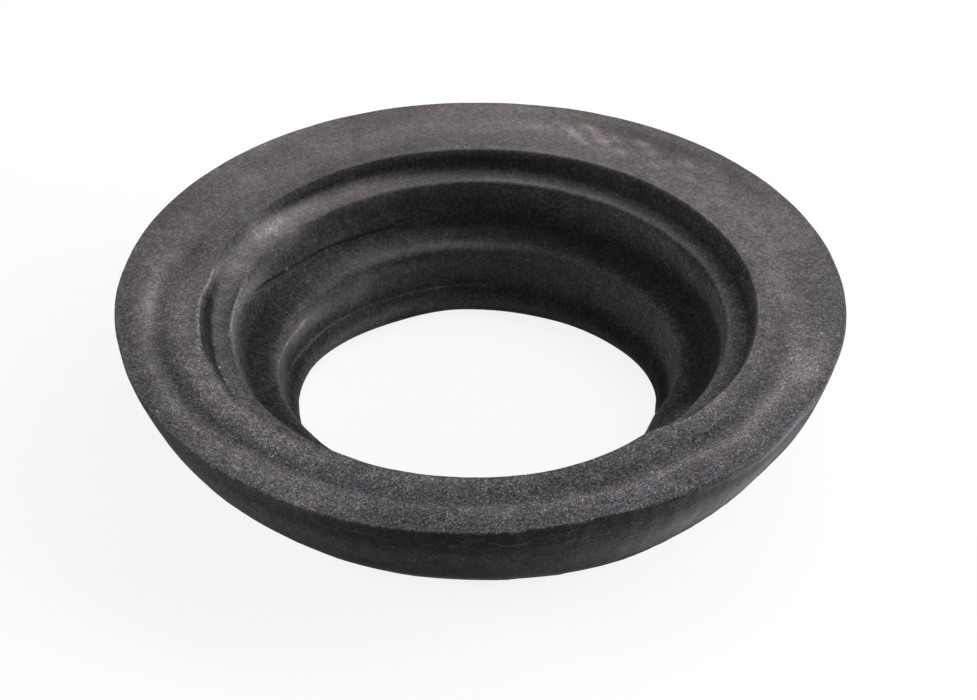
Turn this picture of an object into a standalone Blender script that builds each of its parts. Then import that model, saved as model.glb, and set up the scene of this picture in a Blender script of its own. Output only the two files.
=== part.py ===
"""Tank to bowl gasket for a close-coupled cistern, moulded in one piece from sponge rubber.

The ring is one closed section turned about +Z. The flange that meets the tank is on top, the
outside is bowl-shaped to bed in the pan's inlet, and the inside steps down from the recess round
the flush valve's locknut to the bore. The origin is at the centre of the base. Metres, +Z up.
The section grows outward from the bore and upward from the base, each size added to the last.
"""

from math import atan2, ceil, cos, dist, hypot, pi, radians, sin, tan

import bmesh
import bpy

# Bore: a round bead stands on the base and turns in to the narrowest place
BORE_DIAMETER = 0.0566
BEAD_ROUND = 0.0029
BEAD_TURN = radians(158)

# Throat: the wall from the crease above the bead up to the lower lip
THROAT_DEPTH = 0.00675
THROAT_FLARE = 0.0014
LOWER_LIP_ROUND = 0.0016

# Middle step: a floor that slopes up and out to a round foot, then a leaning wall
STEP_FLOOR_WIDTH = 0.0048
STEP_FLOOR_SLOPE = radians(18)
STEP_DEPTH = 0.0060
STEP_WALL_LEAN = radians(23.5)
STEP_FOOT_ROUND = 0.0038

# Nut recess: a level ledge round the locknut and a low wall up to the flange
LEDGE_WIDTH = 0.0031
UPPER_LIP_ROUND = 0.0006
RECESS_DEPTH = 0.0036
RECESS_WALL_LEAN = radians(20)
RECESS_FOOT_ROUND = 0.0013
RECESS_EDGE_ROUND = 0.0004

# Flange: a level face with one shallow rounded seal groove between two lands
INNER_LAND_WIDTH = 0.0022
GROOVE_WIDTH = 0.0058
GROOVE_DEPTH = 0.0004
OUTER_LAND_WIDTH = 0.00567

# Outside: a short upright land at the rim, then one bulging arc down to the base
RIM_LAND = 0.0005
SIDE_BULGE = 0.0027
BASE_WIDTH = 0.0069
BASE_EDGE_ROUND = 0.0036

# Fineness of the facets
SEGMENTS = 88
ARC_STEP = radians(20)
SIDE_STEP = radians(4.6)
GROOVE_POINTS = 7
SHARP_EDGE = radians(38)

# Dry dark grey rubber
RUBBER_COLOUR = (0.058, 0.054, 0.056, 1.0)
RUBBER_ROUGHNESS = 0.93
RUBBER_METALLIC = 0.0


def clear_scene():
    """Remove every object of the opening scene."""
    for old in list(bpy.data.objects):
        bpy.data.objects.remove(old, do_unlink=True)


def arc(centre, radius, start, turn, step):
    """Points along an arc from a start angle through a turn, both ends included."""
    count = max(1, ceil(abs(turn) / step))
    angles = [start + turn * i / count for i in range(count + 1)]
    return [(centre[0] + radius * cos(a), centre[1] + radius * sin(a)) for a in angles]


def unit(start, end):
    """The direction from one point to another, and the distance between them."""
    length = dist(start, end)
    return ((end[0] - start[0]) / length, (end[1] - start[1]) / length), length


def fillet(before, corner, after, radius):
    """An arc that rounds the corner between two straight sides, limited by half of each side."""
    back, back_length = unit(corner, before)
    on, on_length = unit(corner, after)
    half_angle = atan2(abs(back[0] * on[1] - back[1] * on[0]), back[0] * on[0] + back[1] * on[1]) / 2
    reach = min(radius / tan(half_angle), back_length / 2, on_length / 2)
    depth = reach / cos(half_angle) / hypot(back[0] + on[0], back[1] + on[1])
    centre = (corner[0] + (back[0] + on[0]) * depth, corner[1] + (back[1] + on[1]) * depth)
    first = (corner[0] + back[0] * reach - centre[0], corner[1] + back[1] * reach - centre[1])
    last = (corner[0] + on[0] * reach - centre[0], corner[1] + on[1] * reach - centre[1])
    turn = atan2(first[0] * last[1] - first[1] * last[0], first[0] * last[0] + first[1] * last[1])
    return arc(centre, reach * tan(half_angle), atan2(first[1], first[0]), turn, ARC_STEP)


def bulged(start, end, bulge):
    """Points on the arc between two points that stands out from its chord by the bulge."""
    along, chord = unit(start, end)
    radius = chord**2 / (8 * bulge) + bulge / 2
    inward = (along[1], -along[0])
    centre = (
        (start[0] + end[0]) / 2 + inward[0] * (radius - bulge),
        (start[1] + end[1]) / 2 + inward[1] * (radius - bulge),
    )
    half_turn = atan2(chord / 2, radius - bulge)
    first = atan2(start[1] - centre[1], start[0] - centre[0])
    return arc(centre, radius, first, -2 * half_turn, SIDE_STEP)


def bore_bead():
    """The bead, from where it stands on the base, in round the bore and over to its crease."""
    centre = (BORE_DIAMETER / 2 + BEAD_ROUND, BEAD_ROUND)
    return arc(centre, BEAD_ROUND, -pi / 2, -BEAD_TURN, ARC_STEP)


def inner_steps(crease):
    """The inside above the crease: throat, middle step and nut recess, up to the seal groove."""
    lower_lip = (crease[0] + THROAT_FLARE, crease[1] + THROAT_DEPTH)
    floor_rise = STEP_FLOOR_WIDTH * tan(STEP_FLOOR_SLOPE)
    step_foot = (lower_lip[0] + STEP_FLOOR_WIDTH, lower_lip[1] + floor_rise)
    upper_lip = (step_foot[0] + STEP_DEPTH * tan(STEP_WALL_LEAN), step_foot[1] + STEP_DEPTH)
    recess_foot = (upper_lip[0] + LEDGE_WIDTH, upper_lip[1])
    recess_edge = (recess_foot[0] + RECESS_DEPTH * tan(RECESS_WALL_LEAN), recess_foot[1] + RECESS_DEPTH)
    groove_start = (recess_edge[0] + INNER_LAND_WIDTH, recess_edge[1])
    corners = [crease, lower_lip, step_foot, upper_lip, recess_foot, recess_edge, groove_start]
    rounds = [LOWER_LIP_ROUND, STEP_FOOT_ROUND, UPPER_LIP_ROUND, RECESS_FOOT_ROUND, RECESS_EDGE_ROUND]
    points = []
    for before, corner, after, radius in zip(corners, corners[1:], corners[2:], rounds):
        points += fillet(before, corner, after, radius)
    return points + [groove_start]


def seal_groove(start):
    """The dip in the flange beyond its first point: one cosine wave down and back to flush."""
    shares = [i / (GROOVE_POINTS - 1) for i in range(1, GROOVE_POINTS)]
    return [
        (start[0] + GROOVE_WIDTH * share, start[1] - GROOVE_DEPTH * (1 - cos(2 * pi * share)) / 2)
        for share in shares
    ]


def outer_side(groove_end, base_inner):
    """The outside: rim, upright land, bulging side and the rounded edge of the base."""
    rim = (groove_end[0] + OUTER_LAND_WIDTH, groove_end[1])
    land_foot = (rim[0], rim[1] - RIM_LAND)
    base_outer = (base_inner[0] + BASE_WIDTH, base_inner[1])
    side = bulged(land_foot, base_outer, SIDE_BULGE)
    return [rim] + side[:-1] + fillet(side[-2], base_outer, base_inner, BASE_EDGE_ROUND)


def ring_section():
    """The closed section, once round: bead, steps, flange, side and back along the base."""
    bead = bore_bead()
    steps = inner_steps(bead[-1])
    groove = seal_groove(steps[-1])
    return bead + steps + groove + outer_side(groove[-1], bead[0])


def rubber():
    """The ring's material: dry matt rubber."""
    material = bpy.data.materials.new("moulded_sponge_rubber")
    material.use_nodes = True
    shader = material.node_tree.nodes["Principled BSDF"]
    shader.inputs["Base Color"].default_value = RUBBER_COLOUR
    shader.inputs["Roughness"].default_value = RUBBER_ROUGHNESS
    shader.inputs["Metallic"].default_value = RUBBER_METALLIC
    return material


def turned(name, section, material):
    """One solid: the section turned a full circle about +Z."""
    mesh = bpy.data.meshes.new(name)
    bm = bmesh.new()
    verts = [bm.verts.new((radius, 0.0, height)) for radius, height in section]
    edges = [bm.edges.new(pair) for pair in zip(verts, verts[1:] + verts[:1])]
    bmesh.ops.spin(
        bm,
        geom=verts + edges,
        cent=(0.0, 0.0, 0.0),
        axis=(0.0, 0.0, 1.0),
        angle=2 * pi,
        steps=SEGMENTS,
        use_merge=True,
    )
    bmesh.ops.recalc_face_normals(bm, faces=bm.faces)
    bm.to_mesh(mesh)
    bm.free()
    mesh.shade_smooth()
    mesh.set_sharp_from_angle(angle=SHARP_EDGE)
    mesh.materials.append(material)
    ring = bpy.data.objects.new(name, mesh)
    bpy.context.scene.collection.objects.link(ring)
    return ring


def main():
    """Build the gasket in an empty scene."""
    clear_scene()
    turned("gasket_ring", ring_section(), rubber())


main()
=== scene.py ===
"""The looks of a tank to bowl gasket: one ring moulded in one piece from closed-cell sponge rubber.

The ring is one closed surface of two parameters, the angle about +Z and the place along its
section. It stands on a white sweep under soft lamps. The ring's sizes are millimetres and
degrees, and its angle counts from +X towards +Y. A place along the section is the number of a
stretch plus the share of the way along it, so 4.5 is the middle of the step foot. The meshes,
the floor, the lamps and the camera are in metres.
"""

import logging
from dataclasses import dataclass, field
from enum import Enum, IntEnum

import bpy
import numpy as np
from mathutils import Euler, Matrix, Vector


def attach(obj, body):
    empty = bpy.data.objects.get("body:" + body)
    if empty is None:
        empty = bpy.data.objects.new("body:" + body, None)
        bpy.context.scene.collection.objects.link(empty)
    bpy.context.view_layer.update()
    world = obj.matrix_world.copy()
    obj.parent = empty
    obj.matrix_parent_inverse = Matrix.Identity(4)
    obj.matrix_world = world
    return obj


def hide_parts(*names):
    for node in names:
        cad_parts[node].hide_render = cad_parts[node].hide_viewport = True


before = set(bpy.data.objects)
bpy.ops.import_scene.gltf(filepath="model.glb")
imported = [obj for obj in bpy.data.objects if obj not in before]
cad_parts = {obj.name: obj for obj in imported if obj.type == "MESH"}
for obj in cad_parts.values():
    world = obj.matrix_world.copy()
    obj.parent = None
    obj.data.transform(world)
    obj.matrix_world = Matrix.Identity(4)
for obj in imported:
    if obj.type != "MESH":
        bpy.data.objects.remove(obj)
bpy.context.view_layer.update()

MM = 0.001
IMAGE_WIDTH = 977
LOG = logging.getLogger("gasket")
Socket = bpy.types.NodeSocket

# The shortest and the longest wave of a ripple, as shares of its mean wave
WAVE_SPREAD = (0.7, 1.5)

# A noise node's value is 0.5 on average, and most of it lies between these two
NOISE_MIDDLE = 0.5
NOISE_LOW = 0.3
NOISE_HIGH = 0.7

# The colour sockets of a Mix node set to RGBA: both inputs and the output
MIX_FIRST = 6
MIX_SECOND = 7
MIX_OUT = 2


class Span(IntEnum):
    """The stretches of the section in order, from the foot of the bead up the inside and back."""

    BEAD = 0
    THROAT = 1
    LOWER_LIP = 2
    STEP_FLOOR = 3
    STEP_FOOT = 4
    STEP_WALL = 5
    UPPER_LIP = 6
    LEDGE = 7
    RECESS_FOOT = 8
    RECESS_WALL = 9
    RECESS_EDGE = 10
    FLANGE = 11
    RIM = 12
    RIM_LAND = 13
    SIDE = 14
    BASE_EDGE = 15
    BASE = 16


class Corner(Enum):
    """The corners that the section is drawn between, before they are rounded."""

    BEAD = "bead"
    CREASE = "crease"
    LOWER_LIP = "lower lip"
    STEP_FOOT = "step foot"
    UPPER_LIP = "upper lip"
    RECESS_FOOT = "recess foot"
    RECESS_EDGE = "recess edge"
    RIM = "rim"
    SIDE = "middle of the bulging side"
    BASE_OUTER = "outer edge of the base"


def linear(hex_colour: str) -> tuple[float, float, float, float]:
    """Turn an sRGB hex value into linear colour.

    Args:
        hex_colour: six hex digits after a number sign.

    Returns:
        Linear red, green and blue, and an alpha of one.
    """
    parts = np.array([int(hex_colour[i : i + 2], 16) for i in (1, 3, 5)]) / 255.0
    parts = np.where(parts <= 0.04045, parts / 12.92, ((parts + 0.055) / 1.055) ** 2.4)
    return (float(parts[0]), float(parts[1]), float(parts[2]), 1.0)


def angle_gap(angle: np.ndarray, centre: float) -> np.ndarray:
    """The signed gap in degrees from one angle to others, the short way round.

    Args:
        angle: angles in degrees.
        centre: the angle that they are measured from.

    Returns:
        Gaps from -180 to 180.
    """
    return (angle - centre + 180.0) % 360.0 - 180.0


def bell(gap: np.ndarray, spread: float) -> np.ndarray:
    """A smooth bell: e to the power of minus the square of the gap over the spread.

    Args:
        gap: distances from the middle.
        spread: the distance at which it has fallen to about a third.

    Returns:
        Values from 0 to 1.
    """
    return np.exp(-((gap / spread) ** 2))


def smooth_step(value: np.ndarray, low: float, high: float) -> np.ndarray:
    """Rise from 0 at one value to 1 at another along three x squared less two x cubed.

    Args:
        value: the values to step on.
        low: where the rise starts.
        high: where it ends; below low the step falls instead.

    Returns:
        Values from 0 to 1.
    """
    share = np.clip((value - low) / (high - low), 0.0, 1.0)
    return share * share * (3.0 - 2.0 * share)


def ripple(
    angle: np.ndarray, run: np.ndarray, wave: float, count: int, seed: int, radius: float = 45.0
) -> np.ndarray:
    """Smooth seeded unevenness: a sum of plane waves of about one length over the unrolled ring.

    Args:
        angle: angles in degrees.
        run: distance along the section.
        wave: the mean wavelength.
        count: how many waves are added.
        seed: the seed of their directions and phases.
        radius: the radius at which the wavelength holds round the ring.

    Returns:
        Values of about -1 to 1, which close round the ring.
    """
    draw = np.random.default_rng(seed)
    turn = np.radians(angle)
    total = np.zeros(np.broadcast(angle, run).shape)
    for _ in range(count):
        heading = draw.uniform(0.0, 2.0 * np.pi)
        number = 2.0 * np.pi / (wave * draw.uniform(*WAVE_SPREAD))
        round_count = np.round(number * radius * np.cos(heading))
        phase = draw.uniform(0.0, 2.0 * np.pi)
        total = total + np.cos(round_count * turn + number * np.sin(heading) * run + phase)
    return total / np.sqrt(2.0 * count)


@dataclass(frozen=True)
class Drift:
    """A place round the ring where a corner lies off its true circle, by a bell of the angle."""

    angle: float
    spread: float
    outward: float


@dataclass(frozen=True)
class Trim:
    """Where the moulding's flash was cut from the front of the rim, a little too deep.

    How far the cut lies inside the true rim goes straight from knot to knot, with a short steep
    stretch wherever the knife was set down again. The cut edge is slightly torn, by a ripple that
    has its full height where the cut is at least as deep as torn_from.
    """

    knots: tuple[tuple[float, float], ...] = (
        (258.0, 0.00),
        (264.0, 0.20),
        (270.0, 0.45),
        (273.2, 0.38),
        (275.7, 0.30),
        (276.4, 0.54),
        (277.5, 0.84),
        (280.0, 0.92),
        (286.6, 1.10),
        (287.3, 1.36),
        (293.0, 1.25),
        (298.2, 1.06),
        (298.8, 1.16),
        (305.0, 1.02),
        (308.0, 1.08),
        (311.5, 0.68),
        (316.5, 0.42),
        (321.0, 0.58),
        (325.0, 0.90),
        (329.5, 1.15),
        (333.5, 0.70),
        (337.0, 0.36),
        (342.0, 0.15),
        (348.0, 0.00),
    )
    torn: float = 0.07
    torn_wave: float = 2.4
    torn_count: int = 24
    torn_radius: float = 56.0
    torn_from: float = 0.3
    seed: int = 5

    def depth(self, angle: np.ndarray) -> np.ndarray:
        """How far the cut lies inside the true rim at each angle."""
        stops = np.array(self.knots)
        cut = np.interp(angle, stops[:, 0], stops[:, 1])
        flat = np.zeros_like(angle)
        tear = ripple(angle, flat, self.torn_wave, self.torn_count, self.seed, self.torn_radius)
        return cut + self.torn * tear * smooth_step(cut, 0.0, self.torn_from)


@dataclass
class Surface:
    """Points of the ring on a grid: rows go round the ring, columns go along the section."""

    angle: np.ndarray
    place: np.ndarray
    radius: np.ndarray
    height: np.ndarray

    @property
    def points(self) -> np.ndarray:
        """The points in three axes, in millimetres."""
        turn = np.radians(self.angle)
        return np.stack([self.radius * np.cos(turn), self.radius * np.sin(turn), self.height], -1)

    @property
    def run(self) -> np.ndarray:
        """Distance along the section from its first point, in millimetres."""
        step = np.hypot(np.diff(self.radius, axis=1), np.diff(self.height, axis=1))
        return np.concatenate([np.zeros((step.shape[0], 1)), np.cumsum(step, axis=1)], axis=1)

    def lean(self) -> tuple[np.ndarray, np.ndarray]:
        """The outward normal within each section.

        The tangent is the difference of the neighbours on both sides, and a quarter turn to the
        left of it points out of the rubber, because the section runs clockwise.

        Returns:
            The normal's parts along the radius and along the height.
        """
        along = np.roll(self.radius, -1, axis=1) - np.roll(self.radius, 1, axis=1)
        rise = np.roll(self.height, -1, axis=1) - np.roll(self.height, 1, axis=1)
        length = np.hypot(along, rise)
        return -rise / length, along / length

    def pushed(self, amount: np.ndarray) -> "Surface":
        """The surface moved along its normals.

        Args:
            amount: how far each point moves out of the rubber.

        Returns:
            The moved surface.
        """
        outward, upward = self.lean()
        return Surface(
            self.angle, self.place, self.radius + outward * amount, self.height + upward * amount
        )

    def point_at(self, angle: float, place: float) -> np.ndarray:
        """The grid's point nearest to an angle and a place along the section, in millimetres."""
        row = int(np.argmin(np.abs(angle_gap(self.angle[:, 0], angle))))
        column = int(np.argmin(np.abs(self.place[0] - place)))
        return self.points[row, column]


@dataclass
class RingSection:
    """The moulded section and how it drifts round the ring.

    Its corners follow the solid's, each as its radius and its height above the base. Soft rubber
    never comes off its mould quite true, so the corners wander by some tenths, and by a
    millimetre or two where the inside sags at the right front.
    """

    bore_radius: float = 28.3
    bead_round: float = 2.9
    bead_turn: float = 158.0
    crease: tuple[float, float] = (30.11, 5.59)
    lower_lip: tuple[float, float] = (31.51, 12.34)
    step_foot: tuple[float, float] = (36.31, 13.90)
    upper_lip: tuple[float, float] = (38.92, 19.90)
    recess_foot: tuple[float, float] = (42.02, 19.90)
    recess_edge: tuple[float, float] = (43.33, 23.498)
    rim_radius: float = 57.0
    top_height: float = 23.498
    rim_land: float = 0.5
    base_outer: float = 38.1
    side_bulge: float = 2.7
    lower_lip_round: float = 1.6
    step_foot_round: float = 3.8
    upper_lip_round: float = 0.6
    recess_foot_round: float = 1.3
    recess_edge_round: float = 0.4
    rim_round: float = 0.22
    base_edge_round: float = 3.6
    off_centre: dict[Corner, float] = field(
        default_factory=lambda: {
            Corner.RECESS_EDGE: 0.23,
            Corner.RECESS_FOOT: 0.23,
            Corner.UPPER_LIP: 0.43,
            Corner.STEP_FOOT: 0.25,
            Corner.LOWER_LIP: 0.23,
            Corner.CREASE: 0.40,
            Corner.BEAD: 0.50,
        }
    )
    drifts: dict[Corner, tuple[Drift, ...]] = field(
        default_factory=lambda: {
            Corner.BEAD: (
                Drift(90.0, 85.0, 0.60),
                Drift(27.0, 17.0, 0.32),
                Drift(22.0, 14.0, 0.10),
                Drift(72.0, 9.0, -0.14),
                Drift(99.0, 9.0, 0.30),
                Drift(119.0, 9.0, -0.18),
                Drift(151.0, 17.0, 0.46),
                Drift(172.0, 12.0, -0.14),
                Drift(187.0, 13.0, -0.40),
                Drift(189.0, 9.0, -0.22),
                Drift(0.0, 7.0, -0.35),
                Drift(351.0, 5.0, -0.22),
                Drift(344.0, 8.0, -0.70),
            ),
            Corner.CREASE: (
                Drift(90.0, 85.0, 0.45),
            ),
            Corner.LOWER_LIP: (
                Drift(134.0, 14.0, 0.25),
                Drift(160.0, 10.0, 0.30),
                Drift(210.0, 14.0, -0.22),
                Drift(338.0, 12.0, -1.30),
                Drift(334.0, 7.0, -0.45),
            ),
            Corner.UPPER_LIP: (
                Drift(24.0, 12.0, 0.10),
                Drift(90.0, 11.0, 0.22),
                Drift(130.0, 9.0, -0.12),
                Drift(330.0, 12.0, -0.20),
            ),
            Corner.RECESS_FOOT: (
                Drift(184.0, 13.0, -0.45),
            ),
            Corner.RECESS_EDGE: (
                Drift(85.0, 22.0, -0.15),
                Drift(171.0, 6.0, -0.70),
                Drift(195.0, 9.0, 0.42),
                Drift(213.0, 8.0, 0.80),
                Drift(238.0, 9.0, -0.45),
                Drift(250.0, 5.0, 0.20),
                Drift(292.0, 26.0, -0.35),
                Drift(301.0, 12.0, -1.10),
                Drift(310.0, 8.0, -1.75),
                Drift(326.0, 8.0, -0.40),
            ),
            Corner.RIM: (
                Drift(34.0, 16.0, 0.22),
                Drift(58.0, 12.0, 0.12),
                Drift(88.0, 18.0, -0.12),
                Drift(122.0, 12.0, 0.08),
                Drift(192.0, 9.0, -0.35),
                Drift(246.0, 10.0, 0.22),
                Drift(344.0, 10.0, -0.50),
            ),
            Corner.SIDE: (
                Drift(219.0, 16.0, 0.30),
                Drift(297.0, 18.0, 0.48),
                Drift(321.0, 7.0, -0.10),
                Drift(334.0, 8.0, 0.45),
            ),
            Corner.BASE_OUTER: (
                Drift(268.0, 16.0, -0.25),
            ),
        }
    )
    trim: Trim = field(default_factory=Trim)
    columns: dict[Span, int] = field(
        default_factory=lambda: {
            Span.BEAD: 14,
            Span.THROAT: 16,
            Span.LOWER_LIP: 6,
            Span.STEP_FLOOR: 7,
            Span.STEP_FOOT: 8,
            Span.STEP_WALL: 18,
            Span.UPPER_LIP: 3,
            Span.LEDGE: 5,
            Span.RECESS_FOOT: 5,
            Span.RECESS_WALL: 5,
            Span.RECESS_EDGE: 3,
            Span.FLANGE: 28,
            Span.RIM: 3,
            Span.RIM_LAND: 1,
            Span.SIDE: 25,
            Span.BASE_EDGE: 5,
            Span.BASE: 3,
        }
    )
    side_crowding: float = 1.7
    side_tail: float = 0.9
    rows: int = 640

    def corner(self, name: Corner, radius: float, height: float, angle: np.ndarray) -> np.ndarray:
        """A corner's place at each angle, off centre towards -X and moved by its drifts.

        Args:
            name: which corner it is.
            radius: its true radius.
            height: its true height.
            angle: the angles in degrees.

        Returns:
            Radius and height at each angle.
        """
        out = radius - self.off_centre.get(name, 0.0) * np.cos(np.radians(angle))
        for drift in self.drifts.get(name, ()):
            out = out + drift.outward * bell(angle_gap(angle, drift.angle), drift.spread)
        if name is Corner.RIM:
            out = out - self.trim.depth(angle)
        return np.stack([out, np.full_like(angle, height)], -1)

    @staticmethod
    def line(start: np.ndarray, end: np.ndarray, shares: np.ndarray) -> np.ndarray:
        """Points on straight lines: the start plus a share of the way to the end.

        Args:
            start: one start point for each angle.
            end: one end point for each angle.
            shares: the shares of the way.

        Returns:
            Points by angle and share.
        """
        return start[:, None] + (end - start)[:, None] * shares[None, :, None]

    @staticmethod
    def arc(
        centre: np.ndarray,
        radius: np.ndarray,
        first: np.ndarray,
        turn: np.ndarray,
        shares: np.ndarray,
    ) -> np.ndarray:
        """Points on arcs: the centre plus the radius along an angle that turns by a share.

        Args:
            centre: one centre for each angle of the ring.
            radius: one radius for each.
            first: the angle that each arc starts at, in radians.
            turn: how far each turns, in radians.
            shares: the shares of the turn.

        Returns:
            Points by angle and share.
        """
        way = first[:, None] + turn[:, None] * shares[None]
        ray = np.stack([np.cos(way), np.sin(way)], -1)
        return centre[:, None] + radius[:, None, None] * ray

    @staticmethod
    def rounded(
        before: np.ndarray, corner: np.ndarray, after: np.ndarray, radius: float
    ) -> tuple[np.ndarray, np.ndarray, tuple[np.ndarray, np.ndarray, np.ndarray, np.ndarray]]:
        """The arc that rounds a corner between two sides, at most to the middle of each side.

        It touches both sides at a reach of the radius over the tangent of half their angle.

        Args:
            before: the end of the side before, at each angle.
            corner: the corner.
            after: the end of the side after.
            radius: the radius wanted.

        Returns:
            Where the arc starts, where it ends, and its centre, radius, first angle and turn.
        """
        back = before - corner
        back_length = np.linalg.norm(back, axis=1)
        back = back / back_length[:, None]
        onward = after - corner
        onward_length = np.linalg.norm(onward, axis=1)
        onward = onward / onward_length[:, None]
        half = 0.5 * np.arccos(np.clip((back * onward).sum(1), -1.0, 1.0))
        reach = np.minimum(radius / np.tan(half), 0.5 * np.minimum(back_length, onward_length))
        middle = back + onward
        middle = middle / np.linalg.norm(middle, axis=1)[:, None]
        centre = corner + middle * (reach / np.cos(half))[:, None]
        start = corner + back * reach[:, None]
        end = corner + onward * reach[:, None]
        first = np.arctan2(*(start - centre).T[::-1])
        last = np.arctan2(*(end - centre).T[::-1])
        turn = (last - first + np.pi) % (2.0 * np.pi) - np.pi
        return start, end, (centre, reach * np.tan(half), first, turn)

    def shares(self, span: Span) -> np.ndarray:
        """Even shares of a stretch from 0, one for each of its columns, crowded near the rim."""
        even = np.arange(self.columns[span]) / self.columns[span]
        return even**self.side_crowding if span is Span.SIDE else even

    def surface(self) -> Surface:
        """Draw the closed section at every angle.

        Straight stretches are lines between rounded corners. The bead is an arc in round the
        bore, and the side is an arc that stands out from its chord by the bulge. The base's
        edge is rounded between the base and the line from the side's tail to the side's end.

        Returns:
            The ring's grid, true but for its drifts.
        """
        angle = np.arange(self.rows) * 360.0 / self.rows
        made = {}
        bead = self.corner(Corner.BEAD, self.bore_radius + self.bead_round, self.bead_round, angle)
        bead_radius = np.full_like(angle, self.bead_round)
        foot = bead - np.stack([np.zeros_like(angle), bead_radius], -1)
        first = np.full_like(angle, -0.5 * np.pi)
        turn = np.full_like(angle, -np.radians(self.bead_turn))
        made[Span.BEAD] = self.arc(bead, bead_radius, first, turn, self.shares(Span.BEAD))
        crease = self.arc(bead, bead_radius, first, turn, np.ones(1))[:, 0]

        lower_lip = self.corner(Corner.LOWER_LIP, *self.lower_lip, angle)
        step_foot = self.corner(Corner.STEP_FOOT, *self.step_foot, angle)
        upper_lip = self.corner(Corner.UPPER_LIP, *self.upper_lip, angle)
        recess_foot = self.corner(Corner.RECESS_FOOT, *self.recess_foot, angle)
        recess_edge = self.corner(Corner.RECESS_EDGE, *self.recess_edge, angle)
        rim = self.corner(Corner.RIM, self.rim_radius, self.top_height, angle)
        land_foot = np.stack([rim[:, 0], rim[:, 1] - self.rim_land], -1)
        base_outer = self.corner(Corner.BASE_OUTER, self.base_outer, 0.0, angle)

        chain = [crease, lower_lip, step_foot, upper_lip, recess_foot, recess_edge, rim]
        rounds = [
            (Span.LOWER_LIP, self.lower_lip_round),
            (Span.STEP_FOOT, self.step_foot_round),
            (Span.UPPER_LIP, self.upper_lip_round),
            (Span.RECESS_FOOT, self.recess_foot_round),
            (Span.RECESS_EDGE, self.recess_edge_round),
        ]
        start = crease
        for index, (span, radius) in enumerate(rounds):
            begin, end, bend = self.rounded(*chain[index : index + 3], radius)
            straight = Span(span - 1)
            made[straight] = self.line(start, begin, self.shares(straight))
            made[span] = self.arc(*bend, self.shares(span))
            start = end
        begin, end, bend = self.rounded(recess_edge, rim, land_foot, self.rim_round)
        made[Span.FLANGE] = self.line(start, begin, self.shares(Span.FLANGE))
        made[Span.RIM] = self.arc(*bend, self.shares(Span.RIM))
        made[Span.RIM_LAND] = self.line(end, land_foot, self.shares(Span.RIM_LAND))

        chord = base_outer - land_foot
        length = np.linalg.norm(chord, axis=1)
        bulge = self.corner(Corner.SIDE, self.side_bulge, 0.0, angle)[:, 0]
        side_radius = length**2 / (8.0 * bulge) + bulge / 2.0
        inward = np.stack([chord[:, 1], -chord[:, 0]], -1) / length[:, None]
        centre = 0.5 * (base_outer + land_foot) + inward * (side_radius - bulge)[:, None]
        half_turn = np.arctan2(0.5 * length, side_radius - bulge)
        first = np.arctan2(*(land_foot - centre).T[::-1])
        tail = self.arc(centre, side_radius, first, -2.0 * half_turn, np.full(1, self.side_tail))
        begin, end, bend = self.rounded(tail[:, 0], base_outer, foot, self.base_edge_round)
        side_end = np.arctan2(*(begin - centre).T[::-1])
        side_turn = (side_end - first + np.pi) % (2.0 * np.pi) - np.pi
        made[Span.SIDE] = self.arc(centre, side_radius, first, side_turn, self.shares(Span.SIDE))
        made[Span.BASE_EDGE] = self.arc(*bend, self.shares(Span.BASE_EDGE))
        made[Span.BASE] = self.line(end, foot, self.shares(Span.BASE))

        grid = np.concatenate([made[span] for span in Span], axis=1)
        place = np.concatenate([span + self.shares(span) for span in Span])
        return Surface(
            np.broadcast_to(angle[:, None], grid.shape[:2]),
            np.broadcast_to(place[None], grid.shape[:2]),
            grid[..., 0],
            grid[..., 1],
        )


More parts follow.
